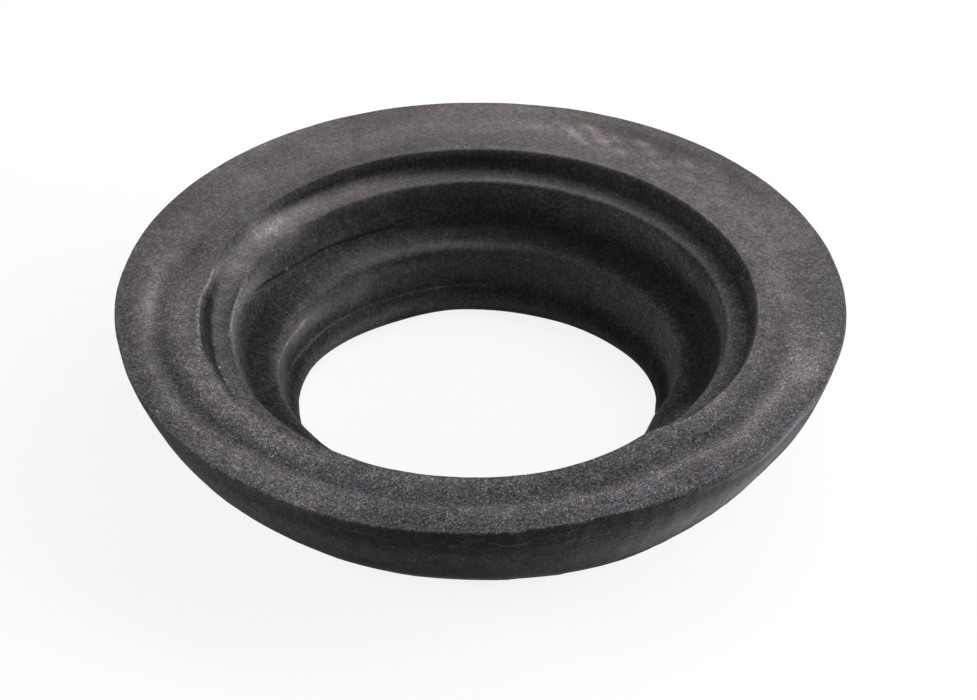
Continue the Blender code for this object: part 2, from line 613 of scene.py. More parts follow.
@dataclass(frozen=True)
class SealGroove:
    """The shallow groove moulded round the flange, with a soft crest outside it.

    Its depth is one cosine wave across its width. It is deepest at the left and in front and
    almost gone behind. Its middle wanders by bells, each an angle, a spread and a shift outward.
    The crest is a bell across. Its knots are an angle, a radius and a share of its height, and
    the last two go straight from knot to knot.
    """

    middle: float = 49.4
    wanders: tuple[tuple[float, float, float], ...] = ((193.0, 28.0, 0.7), (300.0, 40.0, -0.9))
    width: float = 5.4
    deep: float = 0.50
    shallow: float = 0.20
    deep_angle: float = 235.0
    crest_height: float = 0.14
    crest_width: float = 0.95
    crest: tuple[tuple[float, float, float], ...] = (
        (140.0, 50.6, 0.0),
        (160.0, 51.0, 0.5),
        (175.0, 51.7, 1.0),
        (190.0, 52.8, 1.0),
        (205.0, 53.1, 1.0),
        (225.0, 52.9, 0.9),
        (240.0, 51.9, 0.7),
        (255.0, 51.5, 0.5),
        (270.0, 51.0, 0.6),
        (290.0, 50.7, 0.8),
        (315.0, 51.1, 1.0),
        (337.0, 51.1, 1.0),
        (350.0, 49.6, 0.4),
        (359.0, 49.0, 0.0),
    )

    def middle_at(self, angle: np.ndarray) -> np.ndarray:
        """The radius of the groove's bottom at each angle: its mean plus the bells."""
        radius = np.full_like(angle, self.middle)
        for centre, spread, shift in self.wanders:
            radius = radius + shift * bell(angle_gap(angle, centre), spread)
        return radius

    def crest_share(self, surface: Surface) -> np.ndarray:
        """The crest as a share of its full height at each point."""
        angle, radius, share = np.array(self.crest).T
        gap = surface.radius - np.interp(surface.angle, angle, radius)
        return np.interp(surface.angle, angle, share) * bell(gap, self.crest_width)

    def height(self, surface: Surface) -> np.ndarray:
        """How far the flange lies below its top height, as heights of zero or less."""
        gap = (surface.radius - self.middle_at(surface.angle)) / (0.5 * self.width)
        dip = 0.5 * (1.0 + np.cos(np.pi * np.clip(gap, -1.0, 1.0)))
        side = 0.5 * (1.0 + np.cos(np.radians(angle_gap(surface.angle, self.deep_angle))))
        depth = self.shallow + (self.deep - self.shallow) * side
        low = self.crest_height * (self.crest_share(surface) - 1.0)
        on_flange = (surface.place >= Span.FLANGE) & (surface.place < Span.RIM)
        return np.where(on_flange, low - depth * dip, 0.0)


@dataclass(frozen=True)
class Seam:
    """A thin line that runs along the wall: a fold, a wrinkle, a line of flash or a painted
    highlight.

    Its knots are an angle and a place along the section. Its place goes straight from one knot to
    the next as the angle grows, and it fades out at its two ends. Its relief is a bell of its
    width. Its gain multiplies the colour as far out as the full share of its reach, and is back
    to one at its reach. Past its ends the distance from it grows to that many widths or reaches,
    whichever is more, so nothing of it is left there.
    """

    name: str
    knots: tuple[tuple[float, float], ...]
    width: float = 0.3
    height_of: float = 0.0
    reach: float = 0.4
    gain: float = 1.0
    fade: float = 6.0
    full: float = 0.25
    past_widths: float = 4.0
    past_reaches: float = 1.5

    def offset(self, surface: Surface) -> np.ndarray:
        """How far each point lies from the line, as a vector in millimetres.

        Its first part is the signed distance along the section. Its second grows past the ends
        of the line, so that the vector is nowhere short where the line has faded out.

        Args:
            surface: the ring's grid.

        Returns:
            Vectors over the grid, whose third part is zero.
        """
        angle = surface.angle[:, 0]
        stops = np.array(self.knots)
        place = np.interp(angle, stops[:, 0], stops[:, 1])
        run = surface.run
        columns = np.arange(run.shape[1])
        at = np.interp(place, surface.place[0], columns)
        low = np.floor(at).astype(int)
        share = at - low
        rows = np.arange(run.shape[0])
        line = run[rows, low] * (1.0 - share) + run[rows, np.minimum(low + 1, columns[-1])] * share
        past = np.maximum(stops[0, 0] - angle, angle - stops[-1, 0])
        hidden = max(self.past_widths * self.width, self.past_reaches * self.reach)
        faded = hidden * smooth_step(past, -self.fade, 0.0)
        across = run - line[:, None]
        along = np.broadcast_to(faded[:, None], run.shape)
        return np.stack([across, along, np.zeros_like(run)], axis=-1)

    def height(self, surface: Surface) -> np.ndarray:
        """The relief that the line leaves: a bell across it."""
        return self.height_of * bell(np.linalg.norm(self.offset(surface), axis=-1), self.width)


@dataclass(frozen=True)
class Dent:
    """A small dent or lump: a bell of the way round and of the way along the section."""

    angle: float
    place: float
    reach_round: float
    reach_along: float
    height_of: float

    def height(self, surface: Surface) -> np.ndarray:
        """The relief that the dent leaves."""
        row = int(np.argmin(np.abs(angle_gap(surface.angle[:, 0], self.angle))))
        run = surface.run
        at = np.interp(self.place, surface.place[0], run[row])
        round_gap = np.radians(angle_gap(surface.angle, self.angle)) * surface.radius
        return self.height_of * bell(round_gap, self.reach_round) * bell(run - at, self.reach_along)


@dataclass(frozen=True)
class Mark:
    """A single speck of dust, pit or short crack in the skin.

    It is an ellipsoid round a point of the surface, long one way and wide the others. Its heading
    turns from the way round the ring to the way onward along the section, which is read from a
    point a little further on. Its gain multiplies the colour, bright above one and dark below,
    and falls off outside its core, a share of its size.
    """

    angle: float
    place: float
    gain: float
    long: float = 0.36
    wide: float = 0.32
    heading: float = 0.0
    core: float = 0.5
    further_on: float = 0.3

    def frame(self, surface: Surface) -> tuple[Vector, Euler, Vector]:
        """The ellipsoid's middle in metres, its turn and its half sizes in metres.

        Args:
            surface: the ring's grid.

        Returns:
            Location, rotation and scale.
        """
        middle = Vector(surface.point_at(self.angle, self.place))
        turn = np.radians(self.angle)
        around = Vector((-float(np.sin(turn)), float(np.cos(turn)), 0.0))
        onward = Vector(surface.point_at(self.angle, self.place + self.further_on)) - middle
        onward = (onward - around * onward.dot(around)).normalized()
        heading = float(np.radians(self.heading))
        way = around * float(np.cos(heading)) + onward * float(np.sin(heading))
        normal = around.cross(onward)
        turned = Matrix((way, normal.cross(way), normal)).transposed().to_euler()
        return middle * MM, turned, Vector((self.long, self.wide, self.wide)) * MM


@dataclass(frozen=True)
class Unevenness:
    """The slight waviness of a soft moulding, as smooth seeded ripples.

    It starts above the flat base and has its full height a little further up.
    """

    wave: float
    height_of: float
    seed: int
    count: int = 40
    starts_at: float = 0.3
    full_at: float = 3.0

    def height(self, surface: Surface) -> np.ndarray:
        """The relief of the ripples, faded to nothing on the flat base."""
        kept = smooth_step(surface.height, self.starts_at, self.full_at)
        waves = ripple(surface.angle, surface.run, self.wave, self.count, self.seed)
        return self.height_of * kept * waves


@dataclass(frozen=True)
class Smudge:
    """A patch that raises the bloom level, or lowers it where its amount is negative.

    It is a bell of the angle and of the distance along the section. Its middle shifts along the
    section by the slant for each degree round the ring.
    """

    angle: float
    place: float
    reach_round: float
    reach_along: float
    slant: float
    amount: float

    def level(self, surface: Surface, run: np.ndarray) -> np.ndarray:
        """How much bloom the patch adds at each point.

        Args:
            surface: the ring's grid.
            run: the mean distance along the section at each column.

        Returns:
            Levels over the grid.
        """
        gap = angle_gap(surface.angle, self.angle)
        middle = np.interp(self.place, surface.place[0], run) + self.slant * gap
        along = bell(run[None] - middle, self.reach_along)
        return self.amount * bell(gap, self.reach_round) * along


def smudges_on(rows: dict[Span, tuple[tuple[float, ...], ...]]) -> tuple[Smudge, ...]:
    """Smudges from rows of numbers that are grouped by the stretch that they lie on.

    Args:
        rows: for each stretch, the smudges' angle, share of the way along the stretch, reach
            round, reach along, slant and amount.

    Returns:
        The smudges, stretch by stretch.
    """
    return tuple(
        Smudge(angle, span + share, *rest)
        for span, group in rows.items()
        for angle, share, *rest in group
    )


@dataclass
class BloomAndShade:
    """Where the pale bloom of sulphur and talc lies on the rubber, and where painted shade darkens
    it.

    It is thick on what faces up and is touched, and thin in the corners and recesses, where the
    dips of its stops also paint the shade that falls there. The level goes straight from one stop
    to the next along the section, and the broad smudges and the small scuffs at the back right are
    added to it. The skin's own roughness is kept beside it: coarse on the flange, fine on the
    smooth outer side.
    """

    skin: tuple[tuple[float, float], ...] = (
        (Span.BEAD, 0.80),
        (Span.UPPER_LIP, 0.90),
        (Span.RECESS_EDGE, 0.95),
        (Span.FLANGE, 1.00),
        (Span.RIM, 1.00),
        (Span.SIDE, 0.46),
        (Span.BASE_EDGE, 0.60),
    )
    scuffs: tuple[Smudge, ...] = smudges_on(
        {
            Span.FLANGE: (
                (72.4, 0.52, 3.6, 0.85, 0.61, 0.42),
                (70.3, 0.68, 2.0, 0.85, 0.30, 0.36),
                (66.9, 0.50, 1.6, 0.85, 0.30, 0.42),
                (64.8, 0.60, 1.0, 0.55, 0.0, 0.30),
                (62.4, 0.39, 1.4, 0.80, 0.0, 0.32),
                (59.6, 0.64, 1.5, 0.65, 0.0, 0.36),
                (56.8, 0.54, 1.0, 0.65, 0.0, 0.34),
                (54.4, 0.34, 1.1, 0.60, 0.0, 0.26),
                (52.6, 0.47, 1.2, 0.60, 0.0, 0.30),
                (49.5, 0.59, 2.0, 0.60, 0.0, 0.28),
                (46.3, 0.40, 1.3, 0.60, 0.0, 0.24),
                (79.0, 0.55, 2.2, 0.60, 0.0, 0.24),
                (54.6, 0.71, 1.2, 0.90, 0.0, -0.06),
                (61.9, 0.82, 1.0, 0.60, 0.0, -0.06),
                (44.4, 0.86, 1.4, 0.80, 0.0, -0.05),
            ),
        }
    )
    # Low stops in the corners and recesses: thinner bloom there, and painted shade that falls
    # there.
    stops: tuple[tuple[float, float], ...] = (
        (Span.BEAD, 0.50),
        (Span.BEAD + 0.50, 0.23),
        (Span.BEAD + 0.85, 0.05),
        (Span.THROAT, 0.08),
        (Span.THROAT + 0.30, 0.13),
        (Span.THROAT + 0.70, 0.15),
        (Span.LOWER_LIP, 0.15),
        (Span.LOWER_LIP + 0.50, 0.17),
        (Span.STEP_FLOOR, 0.08),
        (Span.STEP_FLOOR + 0.50, 0.04),
        (Span.STEP_FOOT, 0.03),
        (Span.STEP_FOOT + 0.50, 0.01),
        (Span.STEP_WALL, 0.05),
        (Span.STEP_WALL + 0.30, 0.09),
        (Span.STEP_WALL + 0.70, 0.14),
        (Span.UPPER_LIP, 0.16),
        (Span.UPPER_LIP + 0.50, 0.27),
        (Span.LEDGE, 0.39),
        (Span.LEDGE + 0.50, 0.37),
        (Span.RECESS_FOOT, 0.33),
        (Span.RECESS_FOOT + 0.30, 0.25),
        (Span.RECESS_FOOT + 0.65, 0.11),
        (Span.RECESS_WALL, 0.08),
        (Span.RECESS_WALL + 0.50, 0.05),
        (Span.RECESS_EDGE, 0.15),
        (Span.RECESS_EDGE + 0.60, 0.35),
        (Span.FLANGE + 0.05, 0.41),
        (Span.FLANGE + 0.50, 0.45),
        (Span.RIM, 0.39),
        (Span.RIM + 0.50, 0.30),
        (Span.RIM_LAND, 0.25),
        (Span.SIDE, 0.22),
        (Span.SIDE + 0.30, 0.15),
        (Span.SIDE + 0.60, 0.09),
        (Span.BASE_EDGE, 0.99),
    )
    smudges: tuple[Smudge, ...] = smudges_on(
        {
            Span.BEAD: (
                (24.0, 0.61, 56.0, 1.4, 0.008, -0.13),
                (78.0, 0.41, 36.0, 0.6, -0.002, -0.17),
                (130.0, 0.62, 16.0, 0.8, -0.022, 0.17),
                (114.0, 0.44, 8.0, 0.5, 0.015, -0.17),
                (147.0, 0.92, 23.0, 0.4, 0.027, 0.10),
                (6.0, 0.99, 12.0, 5.7, -0.215, -0.05),
            ),
            Span.THROAT: (
                (152.0, 0.62, 19.0, 1.7, 0.057, 0.26),
                (165.0, 0.40, 9.0, 5.7, -0.027, -0.06),
                (128.0, 0.58, 4.0, 1.7, -0.289, 0.12),
            ),
            Span.LOWER_LIP: (
                (115.0, 0.23, 19.0, 1.2, 0.005, -0.16),
                (105.0, 0.74, 23.0, 0.8, 0.007, 0.17),
                (353.0, 0.49, 15.0, 0.8, 0.010, -0.08),
            ),
            Span.STEP_FLOOR: (
                (127.0, 0.42, 25.0, 3.2, 0.035, 0.14),
                (31.0, 0.76, 43.0, 2.8, -0.030, -0.08),
                (25.0, 0.98, 33.0, 1.4, -0.026, 0.05),
                (122.0, 0.07, 9.0, 1.7, 0.054, 0.08),
            ),
            Span.STEP_FOOT: (
                (334.0, 0.11, 7.0, 1.6, 0.199, 0.15),
                (133.0, 0.99, 28.0, 0.9, -0.020, 0.05),
            ),
            Span.STEP_WALL: (
                (172.0, 0.76, 17.0, 1.2, 0.019, 0.26),
                (349.0, 0.31, 36.0, 0.9, -0.033, -0.08),
                (29.0, 0.95, 15.0, 0.9, -0.007, -0.06),
                (173.0, 0.94, 15.0, 0.7, 0.008, -0.17),
                (159.0, 0.41, 5.0, 0.9, 0.058, 0.13),
                (353.0, 0.31, 13.0, 3.1, -0.076, -0.07),
            ),
            Span.UPPER_LIP: (
                (105.0, 0.53, 36.0, 4.5, 0.005, -0.13),
                (189.0, 0.90, 41.0, 0.6, -0.002, -0.15),
            ),
            Span.LEDGE: (
                (18.0, 0.79, 49.0, 1.7, 0.002, -0.22),
                (128.0, 0.78, 6.0, 2.7, -0.048, -0.12),
                (90.0, 0.02, 48.0, 0.4, 0.0, 0.10),
                (159.0, 0.85, 2.8, 1.5, 0.362, 0.30),
            ),
            Span.RECESS_FOOT: (
                (142.0, 0.57, 32.0, 2.3, 0.023, 0.55),
                (177.0, 0.95, 39.0, 1.0, 0.022, -0.17),
                (143.0, 0.20, 5.0, 3.1, 0.190, 0.20),
                (144.0, 0.40, 4.0, 1.1, 0.0, 0.20),
                (155.0, 0.10, 14.0, 0.7, 0.0, -0.12),
                (64.0, 0.02, 28.0, 0.7, -0.002, -0.08),
            ),
            Span.RECESS_WALL: (
                (135.0, 0.35, 9.0, 0.7, 0.021, -0.13),
                (180.0, 0.35, 13.0, 0.9, 0.0, -0.17),
                (148.0, 0.57, 2.5, 1.2, 0.023, 0.14),
                (41.0, 0.73, 41.0, 0.3, 0.003, -0.06),
                (122.0, 0.28, 15.0, 0.4, 0.003, -0.10),
                (166.0, 0.72, 4.0, 0.9, 0.165, 0.26),
            ),
            Span.RECESS_EDGE: (
                (130.0, 0.13, 38.0, 3.1, -0.032, -0.11),
                (203.0, 0.45, 19.0, 0.5, 0.018, -0.27),
                (327.0, 0.75, 9.0, 0.8, 0.0, 0.20),
                (327.0, 0.05, 11.0, 0.5, 0.0, -0.28),
            ),
            Span.FLANGE: (
                (281.0, 0.98, 32.0, 5.1, 0.020, -0.17),
                (286.0, 0.21, 34.0, 3.1, -0.045, -0.20),
                (207.0, 0.47, 37.0, 2.0, -0.016, -0.27),
                (319.0, 0.35, 39.0, 1.8, -0.027, -0.21),
                (330.0, 0.98, 29.0, 4.7, 0.019, -0.10),
                (80.0, 0.75, 16.0, 3.7, 0.029, 0.19),
                (63.0, 0.78, 28.0, 1.7, -0.013, -0.19),
                (195.0, 0.90, 40.0, 1.7, 0.028, -0.11),
                (333.0, 0.55, 20.0, 1.0, -0.035, 0.27),
                (0.0, 0.62, 18.0, 3.0, 0.053, -0.10),
                (179.0, 0.61, 9.0, 1.5, -0.001, 0.31),
                (246.0, 0.15, 12.0, 3.1, 0.072, -0.11),
                (258.0, 0.76, 10.0, 3.3, -0.013, -0.12),
                (215.0, 0.04, 12.0, 1.2, 0.026, 0.18),
                (343.0, 0.74, 6.0, 1.8, -0.029, 0.25),
                (162.0, 0.28, 8.0, 1.6, 0.042, -0.16),
                (11.0, 0.0, 16.0, 0.7, -0.020, -0.12),
                (10.0, 0.22, 11.0, 1.9, -0.104, 0.15),
                (99.0, 0.02, 40.0, 0.6, -0.006, 0.10),
                (312.0, 0.60, 36.0, 0.7, 0.003, 0.10),
                (90.0, 0.41, 4.0, 1.4, -0.008, 0.10),
                (281.0, 0.98, 34.0, 0.5, -0.016, 0.07),
                (212.0, 0.70, 19.0, 0.4, -0.006, 0.17),
                (80.0, 0.75, 6.0, 1.6, 0.0, -0.07),
                (207.0, 0.25, 8.0, 1.4, 0.0, 0.07),
                (54.0, 0.54, 9.0, 2.2, 0.12, -0.10),
                (341.0, 0.61, 3.1, 3.6, 0.033, 0.13),
                (122.0, 0.33, 8.0, 1.6, 0.006, 0.12),
                (165.0, 0.49, 5.0, 1.8, 0.349, 0.12),
            ),
            Span.RIM_LAND: (
                (125.0, 0.85, 11.0, 2.1, -0.126, 0.22),
            ),
            Span.SIDE: (
                (313.0, 0.30, 22.0, 5.1, -0.157, 0.35),
                (249.0, 0.10, 36.0, 3.9, 0.057, -0.11),
                (326.0, 0.02, 15.0, 0.8, -0.006, 0.33),
                (259.0, 0.48, 34.0, 5.8, -0.045, -0.08),
                (189.0, 0.06, 51.0, 3.4, 0.033, -0.08),
            ),
        }
    )

    def level(self, surface: Surface) -> np.ndarray:
        """The bloom at each point, from 0, clean, to 1, white over, lowered by painted shade in the
        corners.
        """
        stops = np.array(self.stops)
        total = np.interp(surface.place, stops[:, 0], stops[:, 1])
        run = surface.run.mean(0)
        for smudge in (*self.smudges, *self.scuffs):
            total = total + smudge.level(surface, run)
        return np.clip(total, 0.0, 1.0)

    def roughness(self, surface: Surface) -> np.ndarray:
        """How strong the skin's speckle is: straight from one stop to the next."""
        stops = np.array(self.skin)
        return np.interp(surface.place, stops[:, 0], stops[:, 1])


class NodeSheet:
    """A node tree that nodes are added to, each with its settings and links in one call.

    Inputs without a name of their own go by number. Math takes its values as 0, 1 and 2. Map
    Range takes its value as 0, where that comes from as 1 and 2 and where it goes to as 3 and 4.
    """

    def __init__(self, tree: bpy.types.NodeTree) -> None:
        """Take over a tree and empty it.

        Args:
            tree: the tree of a material or world.
        """
        self.tree = tree
        tree.nodes.clear()

    def add(
        self,
        kind: str,
        feeds: dict[int | str, object] | None = None,
        out: int | str = 0,
        **settings: object,
    ) -> Socket | bpy.types.Node:
        """Add one node, set it and feed its inputs.

        Args:
            kind: the node's type name after ShaderNode.
            feeds: by input name or number, a socket to link or a value to set.
            out: the output that is wanted.
            settings: the node's own settings.

        Returns:
            The wanted output, or the node itself if it has none.
        """
        node = self.tree.nodes.new("ShaderNode" + kind)
        for name, value in settings.items():
            setattr(node, name, value)
        for name, value in (feeds or {}).items():
            if isinstance(value, Socket):
                self.tree.links.new(value, node.inputs[name])
            else:
                node.inputs[name].default_value = value
        return node.outputs[out] if len(node.outputs) else node


@dataclass(frozen=True)
class Grain:
    """One size of the skin's speckle: the size of its lumps in millimetres and its strength.

    Its strength holds where the bloom is thick, and on clean rubber the clean share of it. It
    fades as the crispness to the power of fades, so the finest speckle goes first.
    """

    size: float
    strength: float
    clean_share: float
    detail: float = 1.0
    fades: float = 1.0


@dataclass(frozen=True)
class Flecks:
    """Round flecks scattered in cells: the cell and the fleck in millimetres, and their gain.

    Only the cells whose random value lies above the share left out hold a fleck. The channel is
    the part of the cell's random colour that is that value. The gain is added to one over the
    core of the fleck, a share of its size, and falls off outside it.
    """

    cell: float
    fleck: float
    left_out: float
    gain: float
    channel: str = "Red"
    core: float = 0.5


@dataclass(frozen=True)
class SpongeRubber:
    """Closed-cell sponge rubber, moulded and dusty: a dull black that scatters almost no gloss.

    Its broken cells give the eye a fine grain of bright and dark, with bright flecks of talc in
    it, and a pale bloom lies on it in clouds, bluish grey where thin and pinkish where thick. The
    speckle is crisp in front and softer behind, which paints the stronger play of the light on the
    grain in front.

    Real cells are under a tenth of a millimetre across and talc is finer still, but a pixel of
    the render is 0.16 mm. So the cells are drawn 0.2 and 0.5 mm across, and the talc as flecks
    of 0.16 to 0.22 mm, which is as coarse as they need to show. A bump as coarse as the larger
    cells roughens the light on it.
    """

    name: str = "moulded_closed_cell_sponge_rubber"
    rubber: str = "#1d1d1e"
    thin_bloom: str = "#949399"
    thick_bloom: str = "#9e9494"
    roughness: float = 0.95
    specular: float = 0.06
    grains: tuple[Grain, ...] = (
        Grain(0.20, 4.1, 0.75, fades=2.0),
        Grain(0.50, 2.85, 1.95, 2.0),
        Grain(2.2, 0.9, 2.50, 2.0),
    )
    flecks: tuple[Flecks, ...] = (
        Flecks(0.55, 0.16, 0.45, 1.15),
        Flecks(1.9, 0.20, 0.50, 1.6, "Green"),
        Flecks(2.3, 0.22, 0.55, -0.5, "Blue"),
    )
    clean_below: float = 0.03
    dusty_above: float = 0.25
    cloud_size: float = 9.0
    cloud_swing: float = 0.16
    tint_size: float = 5.0
    tint_swing: float = 0.28
    tint_most: float = 0.8
    tint_most_from: float = 0.5
    warmth_front: float = -0.24
    warmth_back: float = 0.05
    front_to_back_reach: float = 50.0
    # Crisp in front, softer behind: painted, the light playing more strongly on the grain in front.
    crisp_front: float = 1.05
    crisp_back: float = 0.45
    talc_on_clean: float = 2.4
    flecks_fade: float = 1.8
    balance: float = -0.13
    bump_size: float = 0.50
    bump_height: float = 0.035

    @staticmethod
    def product(sheet: NodeSheet, first: Socket | float, second: Socket) -> Socket:
        """The product of two values."""
        return sheet.add("Math", {0: first, 1: second}, operation="MULTIPLY")

    def noise(self, sheet: NodeSheet, where: Socket, size: float, detail: float) -> Socket:
        """Cloud noise with lumps of a size in millimetres."""
        feeds = {"Vector": where, "Scale": 1.0 / (size * MM), "Detail": detail, "Roughness": 0.6}
        return sheet.add("TexNoise", feeds)

    def front_to_back(self, sheet: NodeSheet, where: Socket, front: float, back: float) -> Socket:
        """A value that goes straight from the front of the ring to its back.

        Args:
            sheet: the node tree.
            where: Object coordinates.
            front: the value at the front.
            back: the value at the back.

        Returns:
            The value at each point.
        """
        depth = sheet.add("SeparateXYZ", {0: where}, out="Y")
        reach = self.front_to_back_reach * MM
        return sheet.add("MapRange", {0: depth, 1: -reach, 2: reach, 3: front, 4: back})

    def speckle(self, sheet: NodeSheet, where: Socket, bloom_and_shade: Socket) -> Socket:
        """The gain of grain and flecks: e to the power of the grains' sum, times each fleck.

        All of it is crisp in front and softer behind, and fainter where the skin is smooth, the
        flecks by their own power of that crispness. The bright flecks are talc, which stands out
        more on clean rubber.

        Args:
            sheet: the node tree.
            where: Object coordinates.
            bloom_and_shade: the level of bloom, with painted shade in the corners and recesses.

        Returns:
            A factor of about one on average.
        """
        crisp = self.front_to_back(sheet, where, self.crisp_front, self.crisp_back)
        crisp = self.product(sheet, crisp, sheet.add("Attribute", out="Fac", attribute_name="skin"))
        dust_and_shade_range = {0: bloom_and_shade, 1: self.clean_below, 2: self.dusty_above}
        power = self.balance
        for grain in self.grains:
            lumps = self.noise(sheet, where, grain.size, grain.detail)
            level = sheet.add("Math", {0: lumps, 1: NOISE_MIDDLE}, operation="SUBTRACT")
            ends = {3: grain.strength * grain.clean_share, 4: grain.strength}
            strength = sheet.add("MapRange", {**dust_and_shade_range, **ends})
            faded = sheet.add("Math", {0: crisp, 1: grain.fades - 1.0}, operation="POWER")
            strength = self.product(sheet, strength, faded)
            feeds = {0: level, 1: strength, 2: power}
            power = sheet.add("Math", feeds, operation="MULTIPLY_ADD")
        gain = sheet.add("Math", {0: self.product(sheet, power, crisp)}, operation="EXPONENT")
        talc = sheet.add("MapRange", {**dust_and_shade_range, 3: self.talc_on_clean, 4: 1.0})
        sparse = sheet.add("Math", {0: crisp, 1: self.flecks_fade}, operation="POWER")
        for flecks in self.flecks:
            cells = {"Vector": where, "Scale": 1.0 / (flecks.cell * MM)}
            far = sheet.add("TexVoronoi", cells)
            chosen = sheet.add("SeparateColor", {0: far.node.outputs["Color"]}, out=flecks.channel)
            radius = flecks.fleck / flecks.cell
            edge = {0: far, 1: flecks.core * radius, 2: radius, 3: flecks.gain, 4: 0.0}
            spot = sheet.add("MapRange", edge)
            kept = sheet.add("Math", {0: chosen, 1: flecks.left_out}, operation="GREATER_THAN")
            more = self.product(sheet, self.product(sheet, spot, kept), sparse)
            if flecks.gain > 0.0:
                more = self.product(sheet, more, talc)
            gain = self.product(sheet, gain, sheet.add("Math", {0: more, 1: 1.0}, operation="ADD"))
        return gain

    def line_gain(self, sheet: NodeSheet, seam: Seam) -> Socket:
        """The gain of a thin line, from the length of its offset attribute in millimetres.

        Args:
            sheet: the node tree.
            seam: the line, whose name is the attribute's.

        Returns:
            A factor that is one off the line.
        """
        gap = sheet.add("Attribute", out="Vector", attribute_name=seam.name)
        gap = sheet.add("VectorMath", {0: gap}, out="Value", operation="LENGTH")
        feeds = {0: gap, 1: seam.full * seam.reach, 2: seam.reach, 3: seam.gain, 4: 1.0}
        return sheet.add("MapRange", feeds, interpolation_type="SMOOTHSTEP")

    def colour(self, sheet: NodeSheet, where: Socket, bloom_and_shade: Socket) -> Socket:
        """The colour without its speckle: bare rubber under a cloudy bloom whose tint varies.

        The tint grows with the bloom, shifts in patches, and is warmer behind than in front.

        Args:
            sheet: the node tree.
            where: Object coordinates.
            bloom_and_shade: the level of bloom, with painted shade in the corners and recesses.

        Returns:
            The colour at each point.
        """
        usual = {1: NOISE_LOW, 2: NOISE_HIGH}
        clouds = {0: self.noise(sheet, where, self.cloud_size, detail=4.0), **usual}
        swing = {3: 1.0 - self.cloud_swing, 4: 1.0 + self.cloud_swing}
        thick = sheet.add("MapRange", {**clouds, **swing})
        tint = {0: bloom_and_shade, 1: 0.0, 2: self.tint_most_from, 3: 0.0, 4: self.tint_most}
        tint = sheet.add("MapRange", tint)
        patches = {0: self.noise(sheet, where, self.tint_size, detail=2.0), **usual}
        patches = sheet.add("MapRange", {**patches, 3: -self.tint_swing, 4: self.tint_swing})
        warmth = self.front_to_back(sheet, where, self.warmth_front, self.warmth_back)
        tint = sheet.add("Math", {0: tint, 1: patches}, operation="ADD")
        tint = sheet.add("Math", {0: tint, 1: warmth}, operation="ADD", use_clamp=True)
        hues = {0: tint, MIX_FIRST: linear(self.thin_bloom), MIX_SECOND: linear(self.thick_bloom)}
        dust = sheet.add("Mix", hues, out=MIX_OUT, data_type="RGBA")
        # Low levels show bare dark rubber: clean rubber, and painted shade in the corners and
        # recesses.
        cover = self.product(sheet, bloom_and_shade, thick)
        layers = {0: cover, MIX_FIRST: linear(self.rubber), MIX_SECOND: dust}
        return sheet.add("Mix", layers, out=MIX_OUT, data_type="RGBA", clamp_factor=True)

    def material(
        self, surface: Surface, seams: tuple[Seam, ...], marks: tuple[Mark, ...]
    ) -> bpy.types.Material:
        """Make the material: its colour times the gains of the speckle, the lines and the marks.

        Args:
            surface: the ring's grid, which the marks lie on.
            seams: the thin lines, of which those with a gain are drawn.
            marks: the single specks, pits and cracks.

        Returns:
            The finished material, which reads Object coordinates and the ring's attributes.
        """
        made = bpy.data.materials.new(self.name)
        made.use_nodes = True
        sheet = NodeSheet(made.node_tree)
        where = sheet.add("TexCoord", out="Object")
        # The level of bloom, darkened by painted shade in the corners and recesses.
        bloom_and_shade = sheet.add("Attribute", out="Fac", attribute_name="bloom_and_shade")
        gain = self.speckle(sheet, where, bloom_and_shade)
        for seam in seams:
            if seam.gain != 1.0:
                gain = self.product(sheet, gain, self.line_gain(sheet, seam))
        for mark in marks:
            middle, turn, size = mark.frame(surface)
            feeds = {"Vector": where, "Location": middle, "Rotation": turn, "Scale": size}
            inside = sheet.add("Mapping", feeds, vector_type="TEXTURE")
            far = sheet.add("VectorMath", {0: inside}, out="Value", operation="LENGTH")
            spot = sheet.add("MapRange", {0: far, 1: mark.core, 2: 1.0, 3: mark.gain, 4: 1.0})
            gain = self.product(sheet, gain, spot)
        colour = {0: self.colour(sheet, where, bloom_and_shade), "Scale": gain}
        colour = sheet.add("VectorMath", colour, operation="SCALE")

        relief = self.noise(sheet, where, self.bump_size, detail=3.0)
        bump = {"Height": relief, "Strength": 1.0, "Distance": self.bump_height * MM}
        shader = sheet.add(
            "BsdfPrincipled",
            {
                "Base Color": colour,
                "Roughness": self.roughness,
                "Specular IOR Level": self.specular,
                "Normal": sheet.add("Bump", bump),
            },
        )
        sheet.add("OutputMaterial", {"Surface": shader})
        return made


